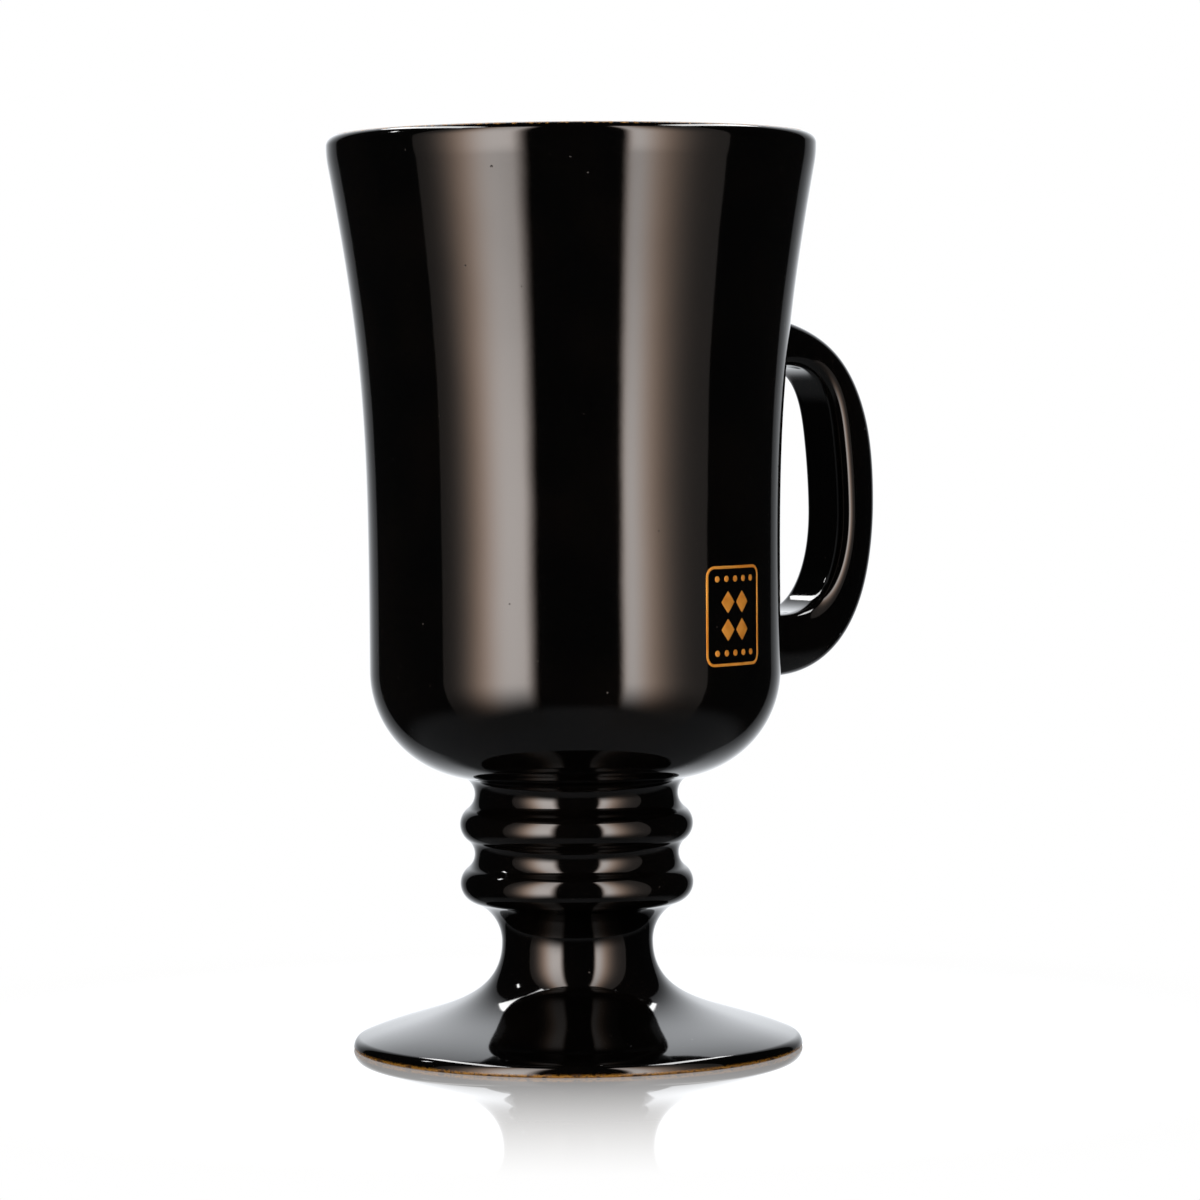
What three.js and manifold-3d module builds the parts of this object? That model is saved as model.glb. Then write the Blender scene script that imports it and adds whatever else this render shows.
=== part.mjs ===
import * as THREE from 'three';
import { mergeVertices } from 'three/addons/utils/BufferGeometryUtils.js';
import Module from 'manifold-3d';

const wasm = await Module();
wasm.setup();

// Heights and radii of the mug, in millimetres, about its own upright axis.
const mugHeight = 149;
const rimRadius = 39.9;
const lipRound = 1.75;
const lipShoulderRound = 18;
const rimLean = 0.185;
const wallRadius = 33.6;
const wallThickness = 4.4;
const bellyHeight = 61.8;
const bellyRound = 17.5;
const floorHeight = 50;
const floorRound = 15;
const waistPull = 36;
const rimPull = 33.7;

// The stem has two beads, a groove between them, and necks above and below.
const beadRadius = 19.1;
const beadRound = 3.25;
const lowerBeadHeight = 26.9;
const upperBeadHeight = 36.6;
const grooveRadius = 16.75;
const neckRound = 3.05;
const waistRadius = 12.4;
const waistHeight = 17.3;

// The foot spreads like a trumpet to a rounded edge, and is hollow underneath.
const footRadius = 36.8;
const footEdgeRound = 0.4;
const footShoulderRound = 1.7;
const footSlope = 0.42;
const footPull = 11.4;
const waistSpread = 10.7;
const hollowRadius = 27;
const hollowPull = 9.7;
const hollowShaft = 8.4;
const hollowShoulder = 14;
const hollowThroat = 7.6;

// The strap's middle line: where it leaves the wall, at what angle, and how far out it reaches.
const strapReach = 60.4;
const strapReachHeight = 87.6;
const strapTopHeight = 115;
const strapTopRise = 0.1;
const strapTopPull = 17.2;
const strapTopDrop = 26.5;
const strapFootHeight = 66.3;
const strapFootDip = 0.33;
const strapFootPull = 27.1;
const strapFootRise = 10;
const strapRootDepth = 2.2;
const strapWidth = 10.8;
const strapEdgeRound = 2.4;
const strapBackRound = 4.4;
const strapTopThickness = 10.4;
const strapBendThickness = 6.9;
const strapBackThickness = 9.6;
const strapApexThickness = 9.4;
const strapHeelThickness = 10.6;
const strapFootThickness = 10.4;
const rootFlare = 1.3;
const rootSpread = 7.5;

// Slip joints, each with a hairline of clearance on both sides.
const stemLuteDepth = 1;
const handleLuteDepth = 1.8;
const clearance = 0.3;

const roundSteps = 48;
const strapSteps = 44;
const strapCornerSteps = 4;
const weldDistance = 0.001;

function blackGlaze() {
  return new THREE.MeshStandardMaterial({ color: 0x0b0b0d, roughness: 0.12, metalness: 0 });
}

function circle(x, y, radius, hollow) {
  return { centre: new THREE.Vector2(x, y), radius, hollow };
}

function contact(lower, upper) {
  const share = lower.radius / (lower.radius + upper.radius);
  return lower.centre.clone().lerp(upper.centre, share);
}

function arc(round, from, to) {
  const start = from.clone().sub(round.centre).angle();
  const end = to.clone().sub(round.centre).angle();
  const { x, y } = round.centre;
  return new THREE.EllipseCurve(x, y, round.radius, round.radius, start, end, round.hollow);
}

function polar(round, angle) {
  const { centre, radius } = round;
  return new THREE.Vector2(centre.x + radius * Math.cos(angle), centre.y + radius * Math.sin(angle));
}

// Hollow round that is narrowest at a given radius and height, and touches a bead beside it.
function hollowBeside(bead, narrowest, height) {
  const inset = narrowest - bead.centre.x;
  const rise = height - bead.centre.y;
  const spare = inset * inset + rise * rise - bead.radius * bead.radius;
  const radius = spare / (2 * (bead.radius - inset));
  return circle(narrowest + radius, height, radius, true);
}

// Hollow round of a given radius that touches one round below it and another above it.
function roundBetween(lower, upper, radius) {
  const toLower = lower.radius + radius;
  const toUpper = upper.radius + radius;
  const along = upper.centre.clone().sub(lower.centre);
  const apart = along.length();
  along.divideScalar(apart);
  const run = (toLower * toLower - toUpper * toUpper + apart * apart) / (2 * apart);
  const side = Math.sqrt(toLower * toLower - run * run);
  const x = lower.centre.x + run * along.x + side * along.y;
  const y = lower.centre.y + run * along.y - side * along.x;
  return circle(x, y, radius, true);
}

// The rounds that roll over one another from the stem's waist up to the belly.
const lowerBead = circle(beadRadius - beadRound, lowerBeadHeight, beadRound, false);
const upperBead = circle(beadRadius - beadRound, upperBeadHeight, beadRound, false);
const waist = hollowBeside(lowerBead, waistRadius, waistHeight);
const groove = hollowBeside(lowerBead, grooveRadius, (lowerBeadHeight + upperBeadHeight) / 2);
const belly = circle(wallRadius - bellyRound, bellyHeight, bellyRound, false);
const neck = roundBetween(upperBead, belly, neckRound);
const lip = circle(rimRadius - lipRound, mugHeight - lipRound, lipRound, false);
const lipShoulder = circle(rimRadius - lipShoulderRound, mugHeight - lipRound, lipShoulderRound, false);

// Point of the neck's hollow, a given height above its narrowest place.
function neckPoint(rise) {
  const { centre, radius } = neck;
  return new THREE.Vector2(centre.x - Math.sqrt(radius * radius - rise * rise), centre.y + rise);
}

function trace(runs) {
  const outline = [];
  for (const [curve, steps] of runs) {
    const points = curve.getPoints(steps);
    for (const point of points) {
      const last = outline[outline.length - 1];
      if (!last || last.distanceTo(point) > weldDistance) {
        outline.push(point);
      }
    }
  }
  return outline;
}

function line(from, to) {
  return new THREE.LineCurve(from, to);
}

function spin(outline) {
  const geometry = new THREE.LatheGeometry(outline, roundSteps);
  geometry.rotateX(Math.PI / 2);
  return geometry;
}

const rimTilt = Math.atan(rimLean);
const rimRise = new THREE.Vector2(Math.sin(rimTilt), Math.cos(rimTilt));
const wallStart = new THREE.Vector2(wallRadius, bellyHeight);
const wallEnd = polar(lipShoulder, -rimTilt);

// The outside of the cup wall, from the top of the belly to the lip's shoulder.
const outerWall = new THREE.CubicBezierCurve(
  wallStart,
  new THREE.Vector2(wallRadius, bellyHeight + waistPull),
  wallEnd.clone().addScaledVector(rimRise, -rimPull),
  wallEnd,
);

function innerWall() {
  const start = polar(lip, Math.PI - rimTilt);
  const end = new THREE.Vector2(wallRadius - wallThickness, floorHeight + floorRound);
  return new THREE.CubicBezierCurve(
    start,
    start.clone().addScaledVector(rimRise, -rimPull),
    new THREE.Vector2(end.x, end.y + waistPull),
    end,
  );
}

function bowl() {
  const baseEdge = neckPoint(stemLuteDepth / 2 + clearance);
  const bellyTouch = contact(neck, belly);
  const innerEnd = new THREE.Vector2(wallRadius - wallThickness, floorHeight + floorRound);
  const floor = circle(innerEnd.x - floorRound, innerEnd.y, floorRound, true);
  const floorTouch = new THREE.Vector2(floor.centre.x, floorHeight);
  const outline = trace([
    [line(new THREE.Vector2(0, baseEdge.y), baseEdge), 1],
    [arc(neck, baseEdge, bellyTouch), 4],
    [arc(belly, bellyTouch, wallStart), 10],
    [outerWall, 12],
    [arc(lipShoulder, wallEnd, polar(lipShoulder, 0)), 3],
    [arc(lip, polar(lip, 0), polar(lip, Math.PI / 2)), 4],
    [arc(lip, polar(lip, Math.PI / 2), polar(lip, Math.PI - rimTilt)), 4],
    [innerWall(), 10],
    [arc(floor, innerEnd, floorTouch), 7],
    [line(floorTouch, new THREE.Vector2(0, floorHeight)), 1],
  ]);
  return spin(outline);
}

function pedestal() {
  const topEdge = neckPoint(-stemLuteDepth / 2 - clearance);
  const edge = circle(footRadius - footEdgeRound, footEdgeRound, footEdgeRound, false);
  const shoulder = circle(footRadius - footShoulderRound, footEdgeRound, footShoulderRound, false);
  const slopeAngle = Math.atan(footSlope);
  const edgeTop = polar(shoulder, Math.PI / 2 - slopeAngle);
  const standing = new THREE.Vector2(edge.centre.x, 0);
  const waistPoint = new THREE.Vector2(waistRadius, waistHeight);
  const inward = new THREE.Vector2(-Math.cos(slopeAngle), Math.sin(slopeAngle));
  const trumpet = new THREE.CubicBezierCurve(
    edgeTop,
    edgeTop.clone().addScaledVector(inward, footPull),
    new THREE.Vector2(waistRadius, waistHeight - waistSpread),
    waistPoint,
  );
  const hollowEdge = new THREE.Vector2(hollowRadius, 0);
  const shaftEnd = new THREE.Vector2(hollowShaft, hollowShoulder);
  const dome = circle(0, hollowShoulder, hollowShaft, true);
  const domeTop = new THREE.Vector2(0, hollowShoulder + hollowShaft);
  const hollow = new THREE.CubicBezierCurve(
    shaftEnd,
    new THREE.Vector2(hollowShaft, hollowShoulder - hollowThroat),
    hollowEdge.clone().addScaledVector(inward, hollowPull),
    hollowEdge,
  );
  const outline = trace([
    [arc(dome, domeTop, shaftEnd), 5],
    [hollow, 7],
    [line(hollowEdge, standing), 1],
    [arc(edge, standing, polar(edge, 0)), 3],
    [arc(shoulder, polar(shoulder, 0), edgeTop), 5],
    [trumpet, 10],
    [arc(waist, waistPoint, contact(waist, lowerBead)), 6],
    [arc(lowerBead, contact(waist, lowerBead), contact(lowerBead, groove)), 8],
    [arc(groove, contact(lowerBead, groove), contact(groove, upperBead)), 5],
    [arc(upperBead, contact(groove, upperBead), contact(upperBead, neck)), 8],
    [arc(neck, contact(upperBead, neck), topEdge), 3],
    [line(topEdge, new THREE.Vector2(0, topEdge.y)), 1],
  ]);
  return spin(outline);
}

function stemLute() {
  const low = neckPoint(-stemLuteDepth / 2);
  const high = neckPoint(stemLuteDepth / 2);
  const outline = trace([
    [line(new THREE.Vector2(0, low.y), low), 1],
    [arc(neck, low, high), 2],
    [line(high, new THREE.Vector2(0, high.y)), 1],
  ]);
  return spin(outline);
}

// Middle line of the strap in its own plane: x is distance from the axis and y is height.
function strapLine() {
  const start = new THREE.Vector2(wallRadius - strapRootDepth / 2, strapTopHeight);
  const end = new THREE.Vector2(wallRadius - strapRootDepth, strapFootHeight);
  const apex = new THREE.Vector2(strapReach, strapReachHeight);
  const leave = new THREE.Vector2(Math.cos(strapTopRise), Math.sin(strapTopRise));
  const arrive = new THREE.Vector2(Math.cos(strapFootDip), -Math.sin(strapFootDip));
  const path = new THREE.CurvePath();
  path.add(new THREE.CubicBezierCurve(
    start,
    start.clone().addScaledVector(leave, strapTopPull),
    new THREE.Vector2(strapReach, strapReachHeight + strapTopDrop),
    apex,
  ));
  path.add(new THREE.CubicBezierCurve(
    apex,
    new THREE.Vector2(strapReach, strapReachHeight - strapFootRise),
    end.clone().addScaledVector(arrive, strapFootPull),
    end,
  ));
  return path;
}

// Strap section: a flat inner face with tightly rounded edges, and a back that rounds off more fully.
function strapSection(width, thickness) {
  const widest = strapEdgeRound - thickness / 2;
  const side = [];
  for (let i = -strapCornerSteps; i <= strapCornerSteps; i += 1) {
    const turn = Math.PI / 2 * i / strapCornerSteps;
    const across = i < 0 ? strapEdgeRound : strapBackRound;
    const outward = i < 0 ? strapEdgeRound : thickness - strapEdgeRound;
    side.push([widest + outward * Math.sin(turn), width / 2 - across + across * Math.cos(turn)]);
  }
  const otherSide = side.map(([outward, across]) => [outward, -across]).reverse();
  return [...side, ...otherSide];
}

// The strap as one sweep, spreading a little where each end runs into the wall.
function strap() {
  const path = strapLine();
  const length = path.getLength();
  const depth = new THREE.SplineCurve([
    new THREE.Vector2(0, strapTopThickness),
    new THREE.Vector2(0.2, strapBendThickness),
    new THREE.Vector2(0.4, strapBackThickness),
    new THREE.Vector2(0.6, strapApexThickness),
    new THREE.Vector2(0.8, strapHeelThickness),
    new THREE.Vector2(1, strapFootThickness),
  ]);
  const positions = [];
  const index = [];
  let ring = 0;
  for (let i = 0; i <= strapSteps; i += 1) {
    const share = i / strapSteps;
    const point = path.getPointAt(share);
    const ahead = path.getTangentAt(share);
    const fromEnd = Math.min(share, 1 - share) * length;
    const spread = Math.max(0, 1 - fromEnd / rootSpread);
    const flare = 2 * rootFlare * spread * spread;
    const section = strapSection(strapWidth + flare, depth.getPoint(share).y + flare);
    ring = section.length;
    for (const [outward, across] of section) {
      positions.push(point.x - ahead.y * outward, across, point.y + ahead.x * outward);
    }
  }
  for (let i = 0; i < strapSteps; i += 1) {
    for (let j = 0; j < ring; j += 1) {
      const a = i * ring + j;
      const b = i * ring + (j + 1) % ring;
      index.push(a, b, a + ring, b, b + ring, a + ring);
    }
  }
  const last = strapSteps * ring;
  for (let j = 1; j < ring - 1; j += 1) {
    index.push(0, j + 1, j);
    index.push(last, last + j, last + j + 1);
  }
  const geometry = new THREE.BufferGeometry();
  geometry.setAttribute('position', new THREE.Float32BufferAttribute(positions, 3));
  geometry.setIndex(index);
  return geometry;
}

// The space inside the cup's outer wall, made larger all round by a given margin.
function wallEnvelope(margin) {
  const outer = trace([[arc(belly, contact(neck, belly), wallStart), 10], [outerWall, 12]]);
  const grown = outer.map((point) => new THREE.Vector2(point.x + margin, point.y));
  const low = new THREE.Vector2(0, grown[0].y);
  const high = new THREE.Vector2(0, grown[grown.length - 1].y);
  return spin([low, ...grown, high]);
}

function solidOf(geometry) {
  const bare = geometry.clone();
  bare.deleteAttribute('normal');
  bare.deleteAttribute('uv');
  const merged = mergeVertices(bare, weldDistance);
  const kept = [];
  const corners = merged.index.array;
  for (let i = 0; i < corners.length; i += 3) {
    const [a, b, c] = [corners[i], corners[i + 1], corners[i + 2]];
    if (a !== b && b !== c && a !== c) {
      kept.push(a, b, c);
    }
  }
  const mesh = new wasm.Mesh({
    numProp: 3,
    vertProperties: new Float32Array(merged.attributes.position.array),
    triVerts: new Uint32Array(kept),
  });
  return new wasm.Manifold(mesh);
}

function geometryOf(solid) {
  const mesh = solid.getMesh();
  const geometry = new THREE.BufferGeometry();
  geometry.setAttribute('position', new THREE.BufferAttribute(mesh.vertProperties, 3));
  geometry.setIndex(new THREE.BufferAttribute(mesh.triVerts, 1));
  return geometry;
}

const strapSweep = strap();
const strapSolid = solidOf(strapSweep);

function handle() {
  const cut = solidOf(wallEnvelope(handleLuteDepth + 2 * clearance));
  return geometryOf(strapSolid.subtract(cut));
}

// A collar is the strap's root between the wall and the strap proper, above or below mid height.
function handleLute(upward) {
  const outside = solidOf(wallEnvelope(handleLuteDepth + clearance));
  const inside = solidOf(wallEnvelope(clearance));
  const both = strapSolid.intersect(outside).subtract(inside);
  return geometryOf(both.trimByPlane([0, 0, upward], upward * strapReachHeight));
}

function piece(name, geometry) {
  const mesh = new THREE.Mesh(geometry, blackGlaze());
  mesh.name = name;
  return mesh;
}

const stand = new THREE.Group();
stand.name = 'stand';
stand.add(piece('pedestal', pedestal()), piece('stem_lute', stemLute()));

const grip = new THREE.Group();
grip.name = 'grip';
grip.add(
  piece('handle', handle()),
  piece('upper_handle_lute', handleLute(1)),
  piece('lower_handle_lute', handleLute(-1)),
);

const mug = new THREE.Group();
mug.name = 'footed_mug';
mug.add(stand, piece('bowl', bowl()), grip);

// The mug's axis stands off the origin so that the whole object, strap included, is centred.
strapSweep.computeBoundingBox();
mug.position.x = (rimRadius - strapSweep.boundingBox.max.x) / 2;

export default mug;
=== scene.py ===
import bpy
import numpy as np
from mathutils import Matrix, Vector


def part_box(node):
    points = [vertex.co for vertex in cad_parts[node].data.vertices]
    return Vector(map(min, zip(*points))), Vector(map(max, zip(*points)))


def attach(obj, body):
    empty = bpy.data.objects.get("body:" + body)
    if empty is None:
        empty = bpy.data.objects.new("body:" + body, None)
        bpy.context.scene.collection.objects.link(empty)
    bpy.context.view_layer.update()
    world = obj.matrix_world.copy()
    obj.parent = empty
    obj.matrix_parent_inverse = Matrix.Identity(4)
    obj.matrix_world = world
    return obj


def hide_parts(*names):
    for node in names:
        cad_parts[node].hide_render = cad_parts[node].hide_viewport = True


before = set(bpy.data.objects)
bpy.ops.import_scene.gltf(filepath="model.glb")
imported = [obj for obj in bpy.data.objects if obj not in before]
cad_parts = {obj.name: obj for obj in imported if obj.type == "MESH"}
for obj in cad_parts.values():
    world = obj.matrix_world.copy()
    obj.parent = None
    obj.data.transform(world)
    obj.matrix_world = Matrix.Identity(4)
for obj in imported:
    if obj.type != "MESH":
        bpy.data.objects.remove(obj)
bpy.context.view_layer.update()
mm = 0.001  # settings are in millimetres and degrees, meshes in metres

bowlLow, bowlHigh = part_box("bowl")
footLow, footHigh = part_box("pedestal")
axisX = (bowlLow.x + bowlHigh.x) / 2 / mm  # the mug's upright axis
mugHeight = bowlHigh.z / mm
rimRadius = (bowlHigh.y - bowlLow.y) / 2 / mm
footRadius = (footHigh.y - footLow.y) / 2 / mm
print("frame loaded: mug", round(mugHeight, 1), "mm tall, axis at x", round(axisX, 2))


# Curves and grids

def ease(low, high, x):  # smooth step: 0 up to low, 1 from high on
    t = np.clip((x - low) / (high - low), 0, 1)
    return t * t * (3 - 2 * t)


def bezier(points, count):  # cubic curve: Bernstein weights times the four points
    t = np.linspace(0, 1, count)[:, None]
    a, b, c, d = np.array(points, float)
    return (1 - t) ** 3 * a + 3 * t * (1 - t) ** 2 * b + 3 * t * t * (1 - t) * c + t ** 3 * d


def onCircle(circle, angle):  # circle is (radius from the axis, height, own radius)
    x, z, r = circle
    return np.stack([x + r * np.cos(angle), z + r * np.sin(angle)], -1)


def arc(circle, start, end, count):  # points of the circle from start to end, the short way round
    x, z, r = circle
    first = np.arctan2(start[1] - z, start[0] - x)
    turn = np.arctan2(end[1] - z, end[0] - x) - first
    turn = (turn + np.pi) % (2 * np.pi) - np.pi
    return onCircle(circle, first + turn * np.linspace(0, 1, count))


def touch(lower, upper):  # where two circles that roll on each other meet
    a, b = np.array(lower[:2]), np.array(upper[:2])
    return a + (b - a) * lower[2] / (lower[2] + upper[2])


def endToEnd(*runs):  # runs of points as one outline, without the doubled ends
    points = np.concatenate([np.atleast_2d(run) for run in runs])
    apart = np.hypot(*np.diff(points, axis=0).T) > 1e-6
    return points[np.concatenate([[True], apart])]


def gridFaces(rows, across, loop=False, strip=False):
    # quads between neighbouring rows of a grid; a row closes on itself unless strip,
    # and with loop the last row meets the first
    row = np.arange(rows if loop else rows - 1)[:, None]
    column = np.arange(across - 1 if strip else across)[None, :]
    nextRow, nextColumn = (row + 1) % rows, (column + 1) % across
    corners = (row * across + column, row * across + nextColumn,
               nextRow * across + nextColumn, nextRow * across + column)
    return [np.stack(corners, -1).reshape(-1, 4)]


def poled(rings, first, last):
    # a tube of rings whose two ends close on a pole: quads along it and a fan at each end
    rows, across = rings.shape[:2]
    points = np.concatenate([rings.reshape(-1, 3), [first, last]])
    here = np.arange(across)
    after = (here + 1) % across
    far = (rows - 1) * across
    start = np.stack([np.full(across, rows * across), after, here], -1)
    end = np.stack([far + here, far + after, np.full(across, rows * across + 1)], -1)
    return points, gridFaces(rows, across) + [start, end]


def together(parts):  # several shapes as one, each one's corner numbers moved past the points before it
    points, faces, count = [], [], 0
    for partPoints, groups in parts:
        points.append(partPoints)
        faces += [group + count for group in groups]
        count += len(partPoints)
    return np.concatenate(points), faces


def newObject(name, points, faces, material, sharpAngle=50):
    # faces are groups, each a whole array of corner numbers
    mesh = bpy.data.meshes.new(name)
    mesh.from_pydata((np.asarray(points) * mm).tolist(), [], sum((group.tolist() for group in faces), []))
    mesh.polygons.foreach_set("use_smooth", [True] * len(mesh.polygons))
    mesh.set_sharp_from_angle(angle=np.radians(sharpAngle))
    mesh.materials.append(material)
    made = bpy.data.objects.new(name, mesh)
    bpy.context.scene.collection.objects.link(made)
    return made


# Shader maths

class Wire:
    # a node's output that takes part in arithmetic: each operator adds one Math node
    def __init__(self, tree, socket=None):
        self.tree, self.socket = tree, socket

    def node(self, kind, settings, inputs, output=0):
        # any node: its settings first, then a value or a link for each socket
        made = self.tree.nodes.new(kind)
        for name, value in settings.items():
            setattr(made, name, value)
        for name, value in inputs.items():
            if isinstance(value, Wire):
                self.tree.links.new(value.socket, made.inputs[name])
            else:
                made.inputs[name].default_value = value
        return Wire(self.tree, made.outputs[output]) if len(made.outputs) else made

    def pick(self, output):  # another output of the same node
        return Wire(self.tree, self.socket.node.outputs[output])

    def math(self, operation, first, second=0.0):
        return self.node("ShaderNodeMath", {"operation": operation}, {0: first, 1: second})

    def __add__(self, other):
        return self.math("ADD", self, other)

    def __sub__(self, other):
        return self.math("SUBTRACT", self, other)

    def __rsub__(self, other):
        return self.math("SUBTRACT", other, self)

    def __mul__(self, other):
        return self.math("MULTIPLY", self, other)

    def __truediv__(self, other):
        return self.math("DIVIDE", self, other)

    def __pow__(self, other):
        return self.math("POWER", self, other)

    __radd__, __rmul__ = __add__, __mul__

    def rise(self, low, high):  # smooth step of this value
        return self.node("ShaderNodeMapRange", {"interpolation_type": "SMOOTHSTEP"},
                         {"Value": self, "From Min": low, "From Max": high})

    def blend(self, first, second):  # colour that goes from first to second as this value goes to 1
        return self.node("ShaderNodeMix", {"data_type": "RGBA"}, {0: self, 6: first, 7: second}, 2)

    def shaderBlend(self, first, second):
        return self.node("ShaderNodeMixShader", {}, {0: self, 1: first, 2: second})


def newMaterial(name):
    material = bpy.data.materials.new(name)
    material.use_nodes = True
    material.node_tree.nodes.clear()
    return material, Wire(material.node_tree)


glazeLook = {
    "black": (0.0006, 0.0006, 0.0006, 1), "thinBlack": (0.0014, 0.0011, 0.0009, 1),
    "brown": (0.30, 0.15, 0.015, 1), "deepBrown": (0.05, 0.018, 0.003, 1), "clay": (0.42, 0.25, 0.12, 1),
    "roughness": 0.045, "roughnessSpread": 0.03, "brownRoughness": 0.30, "index": 1.7,
    "peelSize": 1.1, "peelDepth": 1.6, "swellSize": 16, "swellDepth": 60,  # depths in micrometres
    "pitSpacing": 2.7, "pitRadius": 0.24, "pitDepth": 60, "pitShare": 0.55,
    "lipBrown": (0.30, 0.06), "footBrown": (0.30, 0.75), "clayHeight": 0.06, "edgeRagged": 0.9,
}


def blackGlaze(look):
    # black glaze that thins to brown over the lip's crest and the foot's edge, with orange peel and pinholes
    material, wire = newMaterial("blackGlaze")
    place = wire.node("ShaderNodeTexCoord", {}, {}, "Object")
    height = wire.node("ShaderNodeSeparateXYZ", {}, {0: place}, "Z") / mm

    def noise(size, detail=2.0):
        return wire.node("ShaderNodeTexNoise", {},
                         {"Vector": place, "Scale": 1 / (size * mm), "Detail": detail})

    peel, swell, ragged = noise(look["peelSize"]), noise(look["swellSize"], 1.0), noise(0.8, 4.0)
    cells = wire.node("ShaderNodeTexVoronoi", {}, {"Vector": place, "Scale": 1 / (look["pitSpacing"] * mm)})
    luck = wire.node("ShaderNodeSeparateColor", {}, {0: cells.pick("Color")}) - (1 - look["pitShare"])
    reach = luck * (look["pitRadius"] / look["pitSpacing"] / look["pitShare"])
    pit = 1 - (cells.pick("Distance") / wire.math("MAXIMUM", reach, 1e-4)).rise(0.2, 1.0)

    edgeNoise = (ragged - 0.5) * look["edgeRagged"]
    lipThin, lipFull = look["lipBrown"]
    footFull, footThin = look["footBrown"]
    overLip = (height + edgeNoise).rise(mugHeight - lipThin, mugHeight - lipFull)
    overFoot = 1 - (height + edgeNoise).rise(footFull, footThin)
    brown = wire.math("MAXIMUM", overLip, overFoot)
    bare = 1 - height.rise(look["clayHeight"] / 2, look["clayHeight"])

    body = swell.rise(0.35, 0.7).blend(look["black"], look["thinBlack"])
    edge = ragged.rise(0.35, 0.6).blend(look["deepBrown"], look["brown"])
    colour = bare.blend((brown * ragged.rise(0.2, 0.5)).blend(body, edge), look["clay"])
    gloss = look["roughness"] + look["roughnessSpread"] * peel
    roughness = gloss + brown * look["brownRoughness"] + bare * 0.3
    relief = peel * look["peelDepth"] + swell * look["swellDepth"] - pit * look["pitDepth"]
    bump = wire.node("ShaderNodeBump", {}, {"Height": relief, "Distance": mm * mm})
    surface = wire.node("ShaderNodeBsdfPrincipled", {}, {
        "Base Color": colour, "Roughness": roughness, "IOR": look["index"], "Normal": bump})
    wire.node("ShaderNodeOutputMaterial", {}, {"Surface": surface})
    return material


giltLook = {
    "gold": (0.95, 0.44, 0.07, 1), "deepGold": (0.80, 0.31, 0.03, 1), "worn": (0.34, 0.14, 0.02, 1),
    "metallic": 0.55, "roughness": 0.42, "roughnessSpread": 0.2, "grainSize": 0.16, "cloudSize": 2.5,
    "grainDepth": 3.0,  # micrometres
}


def giltEnamel(look):
    # fired gold print: fine grain, cloudy colour and a few worn specks
    material, wire = newMaterial("giltEnamel")
    place = wire.node("ShaderNodeTexCoord", {}, {}, "Object")
    grain = wire.node("ShaderNodeTexNoise", {}, {"Vector": place, "Scale": 1 / (look["grainSize"] * mm)})
    cloud = wire.node("ShaderNodeTexNoise", {}, {"Vector": place, "Scale": 1 / (look["cloudSize"] * mm)})
    worn = (grain * 0.6 + cloud * 0.4).rise(0.62, 0.72)
    colour = worn.blend(cloud.rise(0.35, 0.65).blend(look["gold"], look["deepGold"]), look["worn"])
    roughness = look["roughness"] + look["roughnessSpread"] * (grain - 0.5)
    bump = wire.node("ShaderNodeBump", {}, {"Height": grain * look["grainDepth"], "Distance": mm * mm})
    surface = wire.node("ShaderNodeBsdfPrincipled", {}, {
        "Base Color": colour, "Metallic": look["metallic"], "Roughness": roughness, "Normal": bump})
    wire.node("ShaderNodeOutputMaterial", {}, {"Surface": surface})
    return material


glaze = blackGlaze(glazeLook)
gilt = giltEnamel(giltLook)
print("glaze and gilt mixed")


# Cup, stem and foot: one outline turned about the axis

cup = {
    "lipRound": 1.75, "lipShoulder": 18, "rimLean": 0.185, "wallRadius": 33.6,
    "wallThickness": 4.4, "bellyHeight": 61.8, "bellyRound": 17.5, "floorHeight": 50, "floorRound": 15,
    "waistPull": 36, "rimPull": 33.7, "around": 256,
}
stem = {
    "beadRadius": 19.1, "beadRound": 3.25, "lowerBead": 26.9, "upperBead": 36.6, "grooveRadius": 16.75,
    "neckRound": 3.05, "waistRadius": 12.4, "waistHeight": 17.3, "jointDepth": 1.0,
}
foot = {
    "edgeRound": 0.4, "shoulderRound": 1.7, "slope": 0.42, "pull": 11.4, "waistSpread": 10.7, "around": 224,
    "hollowRadius": 27, "hollowPull": 9.7, "hollowShaft": 8.4, "hollowShoulder": 14, "hollowThroat": 7.6,
}


def hollowBeside(bead, narrowest, height):
    # hollow circle, narrowest at a given radius and height, that touches the bead:
    # its centre lies (narrowest + r) out, and (r + bead radius) from the bead's centre
    inset, rise = narrowest - bead[0], height - bead[1]
    r = (inset * inset + rise * rise - bead[2] ** 2) / (2 * (bead[2] - inset))
    return (narrowest + r, height, r)


def hollowBetween(lower, upper, r):
    # hollow circle of radius r that touches both: the apex of a triangle on their centres
    toLower, toUpper = lower[2] + r, upper[2] + r
    base = np.array(upper[:2]) - lower[:2]
    apart = np.hypot(*base)
    run = (toLower ** 2 - toUpper ** 2 + apart ** 2) / (2 * apart)
    side = np.sqrt(toLower ** 2 - run ** 2)
    along = base / apart
    x, z = np.array(lower[:2]) + run * along + side * np.array([along[1], -along[0]])
    return (x, z, r)


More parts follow.
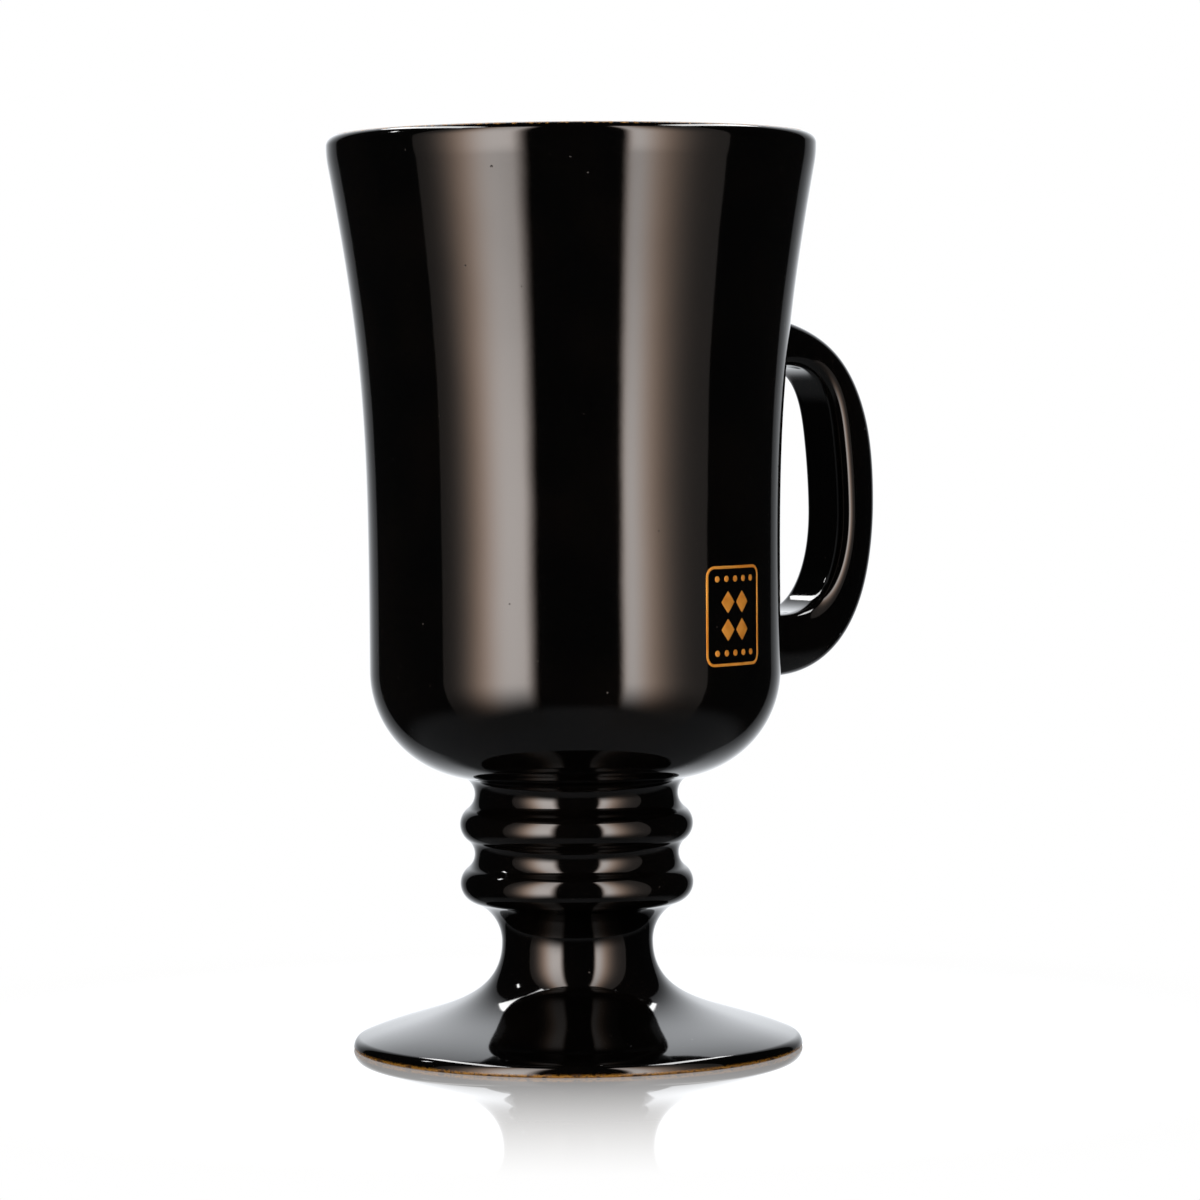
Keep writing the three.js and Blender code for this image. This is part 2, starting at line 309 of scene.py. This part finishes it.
beadCentre = stem["beadRadius"] - stem["beadRound"]
lowerBead = (beadCentre, stem["lowerBead"], stem["beadRound"])
upperBead = (beadCentre, stem["upperBead"], stem["beadRound"])
waist = hollowBeside(lowerBead, stem["waistRadius"], stem["waistHeight"])
groove = hollowBeside(lowerBead, stem["grooveRadius"], (stem["lowerBead"] + stem["upperBead"]) / 2)
belly = (cup["wallRadius"] - cup["bellyRound"], cup["bellyHeight"], cup["bellyRound"])
neck = hollowBetween(upperBead, belly, stem["neckRound"])
lip = (rimRadius - cup["lipRound"], mugHeight - cup["lipRound"], cup["lipRound"])
lipShoulder = (rimRadius - cup["lipShoulder"], lip[1], cup["lipShoulder"])
rimTilt = np.arctan(cup["rimLean"])
rimRise = np.array([np.sin(rimTilt), np.cos(rimTilt)])


def neckEdge(rise):  # point of the neck's hollow at a height above its middle
    return np.array([neck[0] - np.sqrt(neck[2] ** 2 - rise ** 2), neck[1] + rise])


def wallOutline(count):  # belly's top to the lip, outside: a flare, then the lip's soft shoulder
    start, end = np.array([cup["wallRadius"], cup["bellyHeight"]]), onCircle(lipShoulder, -rimTilt)
    flare = bezier([start, start + [0, cup["waistPull"]], end - cup["rimPull"] * rimRise, end], count)
    return endToEnd(flare, onCircle(lipShoulder, np.linspace(-rimTilt, 0, 14)))


def insideOutline(count):  # the lip to the floor's round, inside
    start = onCircle(lip, np.pi - rimTilt)
    end = np.array([cup["wallRadius"] - cup["wallThickness"], cup["floorHeight"] + cup["floorRound"]])
    return bezier([start, start - cup["rimPull"] * rimRise, end + [0, cup["waistPull"]], end], count)


outsideWall = endToEnd(arc(belly, touch(neck, belly), (belly[0] + belly[2], belly[1]), 80), wallOutline(200))


def wallRadiusAt(height):
    return np.interp(height, outsideWall[:, 1], outsideWall[:, 0])


def turned(outline, around):
    # each point of the outline carried round the axis: x = radius cos a, y = radius sin a
    angle = np.linspace(0, 2 * np.pi, around, endpoint=False)
    radius, height = outline[1:-1, 0, None], outline[1:-1, 1, None]
    rings = np.stack([axisX + radius * np.cos(angle), radius * np.sin(angle),
                      np.broadcast_to(height, (len(radius), around))], -1)
    return poled(rings, (axisX, 0, outline[0, 1]), (axisX, 0, outline[-1, 1]))


def bowlOutline():
    base = neckEdge(stem["jointDepth"] / 2)
    innerRadius = cup["wallRadius"] - cup["wallThickness"]
    floorArc = (innerRadius - cup["floorRound"], cup["floorHeight"] + cup["floorRound"], cup["floorRound"])
    flat = np.linspace(floorArc[0], 0, 8)
    return endToEnd(
        [(0, base[1])], arc(neck, base, touch(neck, belly), 28),
        arc(belly, touch(neck, belly), (belly[0] + belly[2], belly[1]), 48), wallOutline(72),
        onCircle(lip, np.linspace(0, np.pi - rimTilt, 34)), insideOutline(40),
        arc(floorArc, (innerRadius, floorArc[1]), (floorArc[0], cup["floorHeight"]), 20),
        np.stack([flat, np.full(8, cup["floorHeight"])], -1))


def jointOutline():
    half = stem["jointDepth"] / 2
    side = arc(neck, neckEdge(-half), neckEdge(half), 10)
    return endToEnd([(0, neck[1] - half)], side, [(0, neck[1] + half)])


def footOutline():
    edge = (footRadius - foot["edgeRound"], foot["edgeRound"], foot["edgeRound"])
    bend = (footRadius - foot["shoulderRound"], foot["edgeRound"], foot["shoulderRound"])
    slope = np.arctan(foot["slope"])
    inward = np.array([-np.cos(slope), np.sin(slope)])
    edgeTop, waistPoint = onCircle(bend, np.pi / 2 - slope), np.array([waist[0] - waist[2], waist[1]])
    shaft, shoulder, throat = foot["hollowShaft"], foot["hollowShoulder"], foot["hollowThroat"]
    mouth = np.array([foot["hollowRadius"], 0])
    top = neckEdge(-stem["jointDepth"] / 2)
    hollowEnd, trumpetEnd = mouth + foot["hollowPull"] * inward, waistPoint - [0, foot["waistSpread"]]
    return endToEnd(
        arc((0, shoulder, shaft), (0, shoulder + shaft), (shaft, shoulder), 14),
        bezier([(shaft, shoulder), (shaft, shoulder - throat), hollowEnd, mouth], 26),
        onCircle(edge, np.linspace(-np.pi / 2, 0, 9)),
        onCircle(bend, np.linspace(0, np.pi / 2 - slope, 24)),
        bezier([edgeTop, edgeTop + foot["pull"] * inward, trumpetEnd, waistPoint], 56),
        arc(waist, waistPoint, touch(waist, lowerBead), 32),
        arc(lowerBead, touch(waist, lowerBead), touch(lowerBead, groove), 32),
        arc(groove, touch(lowerBead, groove), touch(groove, upperBead), 20),
        arc(upperBead, touch(groove, upperBead), touch(upperBead, neck), 32),
        arc(neck, touch(upperBead, neck), top, 18), [(0, top[1])])


def glazedPiece(name, shape, *nodes):
    piece = newObject(name, *shape, glaze)
    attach(piece, "root")
    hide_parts(*nodes)
    return piece


glazedPiece("glazedBowl", turned(bowlOutline(), cup["around"]), "bowl")
glazedPiece("glazedStemJoint", turned(jointOutline(), foot["around"]), "stem_lute")
glazedPiece("glazedFoot", turned(footOutline(), foot["around"]), "pedestal")
print("bowl, stem joint and foot turned")


# Strap handle: a round-edged section carried along the loop, run into the wall with a fillet

strap = {
    "reach": 60.36, "reachHeight": 87.6, "topHeight": 115, "topRise": 0.1, "topPull": 17.2, "topDrop": 26.5,
    "footHeight": 66.3, "footDip": 0.33, "footPull": 27.1, "footRise": 10, "rootDepth": 2.2,
    "width": 10.8, "thickness": (10.4, 6.9, 9.6, 9.4, 10.6, 10.4), "edgeRound": 2.4, "backRound": 4.4,
    "fillet": 2.6, "filletStart": 12, "sunk": 0.3, "settle": 9, "edgeSteps": 12, "flatSteps": 8, "rings": 150,
}


def strapLine(count):  # middle line of the strap: distance from the axis and height, with its length
    start = np.array([cup["wallRadius"] - strap["rootDepth"] / 2, strap["topHeight"]])
    end = np.array([cup["wallRadius"] - strap["rootDepth"], strap["footHeight"]])
    apex = np.array([strap["reach"], strap["reachHeight"]])
    leave = np.array([np.cos(strap["topRise"]), np.sin(strap["topRise"])])
    arrive = np.array([np.cos(strap["footDip"]), -np.sin(strap["footDip"])])
    points = endToEnd(
        bezier([start, start + strap["topPull"] * leave, apex + [0, strap["topDrop"]], apex], count),
        bezier([apex, apex - [0, strap["footRise"]], end + strap["footPull"] * arrive, end], count))
    return points, np.concatenate([[0], np.cumsum(np.hypot(*np.diff(points, axis=0).T))])


linePoints, lineLength = strapLine(600)
strapLength = lineLength[-1]
lineAhead = np.gradient(linePoints, lineLength, axis=0)
lineAhead /= np.hypot(*lineAhead.T)[:, None]


def throughStations(values, share):  # Catmull-Rom curve through evenly spaced values
    v = np.array(values, float)
    v = np.concatenate([v[:1], v, v[-1:]])
    at = np.clip(share, 0, 1) * (len(values) - 1)
    i = np.minimum(at.astype(int), len(values) - 2)
    t = at - i
    before, here, after, beyond = v[i], v[i + 1], v[i + 2], v[i + 3]
    m, n = (after - before) / 2, (beyond - here) / 2
    return ((2 * here - 2 * after + m + n) * t + 3 * (after - here) - 2 * m - n) * t * t + m * t + here


def strapSection():
    # section as a turn from the inner face (-90) over the side (0) to the back (90) and down the other side,
    # with points along both flats: the turn, the side it is on, and its share of the flat
    turn = np.radians(np.linspace(-90, 90, 2 * strap["edgeSteps"] + 1))
    flat = np.linspace(1, -1, strap["flatSteps"])[1:-1]
    quarter = np.full(len(flat), np.pi / 2)
    turns = np.concatenate([turn, quarter, turn[::-1], -quarter])
    sides = np.concatenate([np.ones(len(turn)), 0 * flat, -np.ones(len(turn)), 0 * flat])
    shares = np.concatenate([np.ones(len(turn)), flat, -np.ones(len(turn)), -flat])
    return turns, sides, shares


sectionTurn, sectionSide, sectionFlat = strapSection()


def strapSurface(along, growth):
    # point at a distance along the middle line: tight round edges inside, an ellipse to the back,
    # all grown by the fillet
    thickness = throughStations(strap["thickness"], along / strapLength)
    x, z = (np.interp(along, lineLength, linePoints[:, k]) for k in (0, 1))
    aheadX, aheadZ = (np.interp(along, lineLength, lineAhead[:, k]) for k in (0, 1))
    inner = sectionTurn < 0
    edge = strap["edgeRound"]
    wide = np.where(inner, edge, strap["backRound"])
    deep = np.where(inner, edge, thickness - edge) + growth
    out = edge - thickness / 2 + deep * np.sin(sectionTurn)
    across = sectionFlat * (strap["width"] / 2 - wide) + sectionSide * (wide + growth) * np.cos(sectionTurn)
    return np.stack([x - aheadZ * out, np.broadcast_to(across, out.shape), z + aheadX * out], -1)


def slideToWall(gap, growth, direction):
    # distance along the line at which each point of the section stands gap away from the wall, by halving
    near = np.full((len(gap), len(sectionTurn)), 0.0 if direction > 0 else strapLength)
    far = near + direction * 30
    for _ in range(40):
        middle = (near + far) / 2
        x, y, z = np.moveaxis(strapSurface(middle, growth), -1, 0)
        inside = np.hypot(x, y) - wallRadiusAt(z) < gap
        near, far = np.where(inside, middle, near), np.where(inside, far, middle)
    return (near + far) / 2


def strapRoot(direction):
    # rings from inside the wall, over the round fillet, to where a ring stands square to the line
    turn = np.radians(np.linspace(strap["filletStart"], 90, 12))
    gap = strap["fillet"] * (1 - np.cos(turn))
    growth = strap["fillet"] * (1 - np.sin(turn))
    beyond = np.linspace(0, strap["settle"], 14)[1:]
    gap = np.concatenate([[-strap["sunk"]], gap, strap["fillet"] + beyond])[:, None]
    growth = np.concatenate([growth[:1], growth, 0 * beyond])[:, None]
    along = slideToWall(gap, growth, direction)
    square = ease(strap["fillet"], strap["fillet"] + strap["settle"], gap)
    return along + square * (along.mean(1, keepdims=True) - along), growth


upperAlong, upperGrowth = strapRoot(1)
lowerAlong, lowerGrowth = strapRoot(-1)
middleAlong = np.linspace(upperAlong[-1, 0], lowerAlong[-1, 0], strap["rings"])[1:-1, None]
middleAlong = np.repeat(middleAlong, len(sectionTurn), 1)
strapAlong = np.concatenate([upperAlong, middleAlong, lowerAlong[::-1]])
strapGrowth = np.concatenate([upperGrowth, 0 * middleAlong[:, :1], lowerGrowth[::-1]])
strapRings = strapSurface(strapAlong, strapGrowth) + [axisX, 0, 0]
strapShape = poled(strapRings, strapRings[0].mean(0), strapRings[-1].mean(0))
glazedPiece("glazedHandle", strapShape, "handle", "upper_handle_lute", "lower_handle_lute")
print("handle swept,", round(strapLength, 1), "mm along its middle")


# Gilt panel: a thin raised frame with a plain lozenge ornament, wrapped on the cup's wall

panel = {
    "azimuth": -80.4, "height": 71.5, "width": 12.7, "tall": 15.5, "corner": 1.5, "line": 0.46,
    "proud": 0.05, "sunk": 0.04, "edgeSteps": 10, "sideSteps": 26,
    # place, half width and half height of a lozenge; place and radius of a dot
    "lozenges": [(x, z, 1.5, 1.75) for x in (-1.75, 1.75) for z in (-2.2, 2.2)],
    "dots": [(x, z, 0.5) for x in (-4.2, -2.1, 0, 2.1, 4.2) for z in (-5.9, 5.9)],
}


def onWall(across, up, proud):
    # flat millimetres laid on the wall: across becomes an angle, proud adds to the wall's radius
    height = panel["height"] + up
    radius = wallRadiusAt(height)
    angle = np.radians(panel["azimuth"]) + across / radius
    radius = radius + proud
    return np.stack([axisX + radius * np.cos(angle), radius * np.sin(angle), height], -1)


def giltLine(points, normals):
    # a low rounded bead carried round a closed line: half an ellipse on top, sunk flat below
    turn = np.linspace(0, np.pi, panel["edgeSteps"])
    side = np.concatenate([np.cos(turn), [-1, 1]]) * panel["line"] / 2
    proud = np.concatenate([np.sin(turn) ** 0.5 * panel["proud"], [-panel["sunk"]] * 2])
    across = points[:, 0, None] + normals[:, 0, None] * side
    up = points[:, 1, None] + normals[:, 1, None] * side
    rings = onWall(across, up, proud)
    return rings.reshape(-1, 3), gridFaces(len(points), len(side), loop=True)


def giltPatch(x, z, halfWidth, halfHeight, power):
    # a low pillow whose rim is |across/a|^power + |up/b|^power = 1, from its top over the rim to below
    angle = np.linspace(0, 2 * np.pi, 48, endpoint=False)
    c, s = np.cos(angle), np.sin(angle)
    rim = (np.abs(c) ** power + np.abs(s) ** power) ** (-1 / power)
    share = np.array([0.3, 0.6, 0.85, 0.95, 1.0, 1.0])[:, None]
    proud = np.array([1.0, 1.0, 0.95, 0.75, 0.35, -panel["sunk"] / panel["proud"]])[:, None] * panel["proud"]
    across, up = x + share * rim * c * halfWidth, z + share * rim * s * halfHeight
    top, below = onWall(x, z, panel["proud"]), onWall(x, z, -panel["sunk"])
    return poled(onWall(across, up, proud), top, below)


def roundedFrame():
    # rectangle with round corners: each corner's arc, shifted out by the straight sides
    turn = np.linspace(0, np.pi / 2, panel["edgeSteps"])
    half = np.array([panel["width"], panel["tall"]]) / 2 - panel["corner"]
    share = np.linspace(0, 1, panel["sideSteps"])[1:-1, None]
    corners = half * np.array([(1, 1), (-1, 1), (-1, -1), (1, -1)])
    points, normals = [], []
    for quarter, (here, after) in enumerate(zip(corners, np.roll(corners, -1, 0))):
        angle = turn + quarter * np.pi / 2
        normal = np.stack([np.cos(angle), np.sin(angle)], -1)
        side = here + panel["corner"] * normal[-1] + share * (after - here)
        points += [here + panel["corner"] * normal, side]
        normals += [normal, np.repeat(normal[-1:], len(share), 0)]
    return np.concatenate(points), np.concatenate(normals)


giltParts = [giltLine(*roundedFrame())]
giltParts += [giltPatch(*lozenge, 1.05) for lozenge in panel["lozenges"]]
giltParts += [giltPatch(x, z, size, size, 2.0) for x, z, size in panel["dots"]]
giltPanel = newObject("giltPanel", *together(giltParts), gilt)
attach(giltPanel, "root")
print("gilt panel laid on the wall")


# Camera, at the photograph's viewing angle

shot = {
    "bearing": 50, "distance": 747.9, "aside": 4.13, "height": 107.5, "pitch": 2.63, "roll": 0.453,
    "lens": 137.31, "sensor": 36,
}
bearing, pitch, roll = np.radians([shot["bearing"], shot["pitch"], shot["roll"]])
away = np.array([np.cos(bearing), np.sin(bearing), 0])
right = np.array([np.sin(bearing), -np.cos(bearing), 0])
above = np.array([0, 0, 1])
forward = away * np.cos(pitch) - above * np.sin(pitch)
upward = away * np.sin(pitch) + above * np.cos(pitch)
axes = [right * np.cos(roll) - upward * np.sin(roll), right * np.sin(roll) + upward * np.cos(roll), -forward]
stand = np.array([axisX, 0, shot["height"]]) + shot["aside"] * right - shot["distance"] * away
lens = bpy.data.cameras.new("camera")
lens.lens, lens.sensor_width = shot["lens"], shot["sensor"]
camera = bpy.data.objects.new("camera", lens)
pose = np.eye(4)
pose[:3, :3], pose[:3, 3] = np.stack(axes, -1), stand * mm
camera.matrix_world = pose.T.tolist()
bpy.context.scene.collection.objects.link(camera)
bpy.context.scene.camera = camera
bpy.context.scene.view_settings.view_transform = "Standard"
print("camera set")


# Studio: two soft boxes in front, three panels above, a white backdrop and a pale glossy table

studio = {"radius": 850, "height": 60, "grid": 96, "mirrorLoss": 0.75}
softBoxes = [  # azimuths run from the camera's side, right is positive
    {"name": "leftBox", "side": -1, "inner": (18.5, 28), "outer": 76.5, "hot": 32, "spread": 22.6,
     "power": 2.6, "peak": 5.5, "dim": 0.025},
    {"name": "rightBox", "side": 1, "inner": (23.5, 29), "outer": 77.5, "hot": 31, "spread": 15.5,
     "power": 1.7, "peak": 4.9, "dim": 0.04},
]
boxShape = {"low": -52, "high": 62, "fade": (-38, -2), "slant": 0.22, "slantFrom": 45, "hotHeight": 8,
            "hotTall": 72, "tint": (1.0, 0.91, 0.86), "warmth": (0, 0.17, 0.27)}
topPanels = [  # x, y from the mug as the camera sees it, and height, in studio radii
    {"name": "leftTop", "x": (-0.56, -0.40), "y": (-0.2, 1.0), "z": 1.0, "glow": 8},
    {"name": "rightTop", "x": (0.36, 0.52), "y": (-0.05, 1.0), "z": 1.0, "glow": 8},
    {"name": "sideTop", "x": (-1.11, -0.92), "y": (0.30, 0.38), "z": 1.0, "glow": 11},
]
backdrop = {"edge": 143, "full": 32, "power": 1.5, "glow": 1.1, "least": 0.13, "lift": 0.6, "liftHeight": 14,
            "low": (-46, -36), "high": (44, 50),
            "tint": (0.93, 0.96, 1.0), "dark": 0.008, "table": 0.075, "tableEdge": (-36, -24)}
table = {"size": 4000, "mirror": 0.78, "mirrorStart": 33, "mirrorEnd": 126, "mirrorPower": 1.3,
         "grazing": (0.62, 0.85), "shadow": 0.18, "shadowEnd": (45, 150), "white": (0.92, 0.92, 0.92, 1)}


def glowMaterial():
    material, wire = newMaterial("softLight")
    glow = wire.node("ShaderNodeAttribute", {"attribute_name": "glow"}, {}, "Color")
    # the glow each point holds, less of it in a mirror's mirror
    again = wire.node("ShaderNodeLightPath", {}, {}, "Glossy Depth").rise(1.2, 1.8)
    level = 1 - again * studio["mirrorLoss"]
    colour = wire.node("ShaderNodeVectorMath", {"operation": "SCALE"}, {0: glow, "Scale": level})
    light = wire.node("ShaderNodeEmission", {}, {"Color": colour})
    wire.node("ShaderNodeOutputMaterial", {}, {"Surface": light})
    return material


def lamp(name, points, glow, material):
    # an open grid that gives off the colour held at each of its points, unseen by the camera
    rows, across = points.shape[:2]
    made = newObject(name, points.reshape(-1, 3), gridFaces(rows, across, strip=True), material)
    colours = made.data.attributes.new("glow", "FLOAT_COLOR", "POINT")
    rgba = np.concatenate([glow, np.ones(glow.shape[:2] + (1,))], -1)
    colours.data.foreach_set("color", rgba.astype(np.float32).ravel())
    made.visible_camera = False
    return made


def fromMug(x, y, z):  # x to the camera's right and y away from it, from the mug's axis
    return (np.array([axisX, 0, 0]) + x[..., None] * right + y[..., None] * away + z[..., None] * above)


def softBox(box, material):
    # a patch of a sphere round the mug; its glow falls off from a hot spot, fades out below,
    # and has a soft edge beside the camera
    azimuth = np.linspace(box["inner"][0], box["outer"], studio["grid"])[None, :]
    height = np.linspace(boxShape["low"], boxShape["high"], studio["grid"])[:, None]
    share = np.exp(-(np.abs(azimuth - box["hot"]) / box["spread"]) ** box["power"])
    tall = np.exp(-((height - boxShape["hotHeight"]) / boxShape["hotTall"]) ** 2)
    slanted = height + boxShape["slant"] * (azimuth - boxShape["slantFrom"])
    fade = ease(*box["inner"], azimuth) * ease(*boxShape["fade"], slanted)
    glow = (share * tall + box["dim"]) * box["peak"] * fade
    warm = np.minimum(2.6 * np.sqrt(share) * (1 - share), 1)  # warmest at part of its glow
    tint = boxShape["tint"] - warm[..., None] * boxShape["warmth"]
    below = backdrop["table"] * (1 - ease(*backdrop["tableEdge"], height)) * (1 - fade)
    glow = glow[..., None] * tint + below[..., None]
    a, e = np.radians(azimuth * box["side"]), np.radians(height)
    r = studio["radius"]
    up = studio["height"] + r * np.sin(e) + 0 * a
    points = fromMug(r * np.sin(a) * np.cos(e), -r * np.cos(a) * np.cos(e), up)
    return lamp(box["name"], points, glow, material)


def topPanel(top, material):
    r = studio["radius"]
    x, y = np.meshgrid(np.array(top["x"]) * r, np.array(top["y"]) * r)
    points = fromMug(x, y, np.full(x.shape, top["z"] * r))
    return lamp(top["name"], points, np.full((2, 2, 3), top["glow"]), material)


softLight = glowMaterial()
for box in softBoxes:
    softBox(box, softLight)
for top in topPanels:
    topPanel(top, softLight)


def backdropWorld():
    # white to the camera; the glaze mirrors a dark room, the backdrop behind the mug and the table below
    world = bpy.data.worlds.new("studio")
    world.use_nodes = True
    world.node_tree.nodes.clear()
    wire = Wire(world.node_tree)
    seen = wire.node("ShaderNodeTexCoord", {}, {}, "Generated")

    def along(direction):
        return wire.node("ShaderNodeVectorMath", {"operation": "DOT_PRODUCT"},
                         {0: seen, 1: tuple(direction)}, "Value")

    def degrees(value):
        return value * (180 / np.pi)

    across = wire.math("ABSOLUTE", along(right))
    behind = degrees(wire.math("ARCTAN2", across, along(-away)))
    height = degrees(wire.math("ARCSINE", along(above)))
    sheet = wire.math("MAXIMUM", behind - backdrop["edge"], 0) / backdrop["full"]
    sheet = wire.math("MINIMUM", sheet, 1) ** backdrop["power"] * backdrop["glow"] + backdrop["least"]
    sheet = sheet * behind.rise(backdrop["edge"] - 1, backdrop["edge"] + 1)
    sheet = sheet * height.rise(*backdrop["low"]) * (1 - height.rise(*backdrop["high"]))
    sheet = sheet * (1 + height.rise(0, backdrop["liftHeight"]) * backdrop["lift"])
    below = (1 - height.rise(*backdrop["tableEdge"])) * backdrop["table"]
    level = sheet + below + backdrop["dark"]
    room = wire.node("ShaderNodeVectorMath", {"operation": "SCALE"}, {0: backdrop["tint"], "Scale": level})
    camera = wire.node("ShaderNodeLightPath", {}, {}, "Is Camera Ray")
    colour = camera.blend(room, (1, 1, 1, 1))
    background = wire.node("ShaderNodeBackground", {}, {"Color": colour})
    wire.node("ShaderNodeOutputWorld", {}, {"Surface": background})
    return world


def tableTop():
    # white to the camera with the mug's shadow, and a mirror that fades out round the foot
    material, wire = newMaterial("tableTop")
    place = wire.node("ShaderNodeTexCoord", {}, {}, "Object")
    offset = wire.node("ShaderNodeVectorMath", {"operation": "DISTANCE"},
                       {0: place, 1: (axisX * mm, 0, 0)}, "Value")
    share = (table["mirrorEnd"] - offset / mm) / (table["mirrorEnd"] - table["mirrorStart"])
    share = wire.math("MINIMUM", wire.math("MAXIMUM", share, 0), 1) ** table["mirrorPower"]
    facing = wire.node("ShaderNodeLayerWeight", {}, {}, "Facing")
    mirror = share * facing.rise(*table["grazing"]) * table["mirror"]
    camera = wire.node("ShaderNodeLightPath", {}, {}, "Is Camera Ray")
    lit = wire.node("ShaderNodeBsdfDiffuse", {}, {"Color": table["white"]})
    white = wire.node("ShaderNodeEmission", {}, {})
    gloss = wire.node("ShaderNodeBsdfGlossy", {}, {"Roughness": 0.02})
    shadow = (1 - (offset / mm).rise(*table["shadowEnd"])) * table["shadow"]
    plain = (camera * (1 - shadow)).shaderBlend(lit, white)
    wire.node("ShaderNodeOutputMaterial", {}, {"Surface": mirror.shaderBlend(plain, gloss)})
    return material


bpy.context.scene.world = backdropWorld()
reach = np.array([-1, 1]) * table["size"]
cornerX, cornerY = np.meshgrid(reach, reach)
tableGrid = np.stack([cornerX, cornerY, np.full((2, 2), -0.02)], -1).reshape(-1, 3)
floor = newObject("table", tableGrid, gridFaces(2, 2, strip=True), tableTop())
floor.visible_glossy = False
print("studio lit")
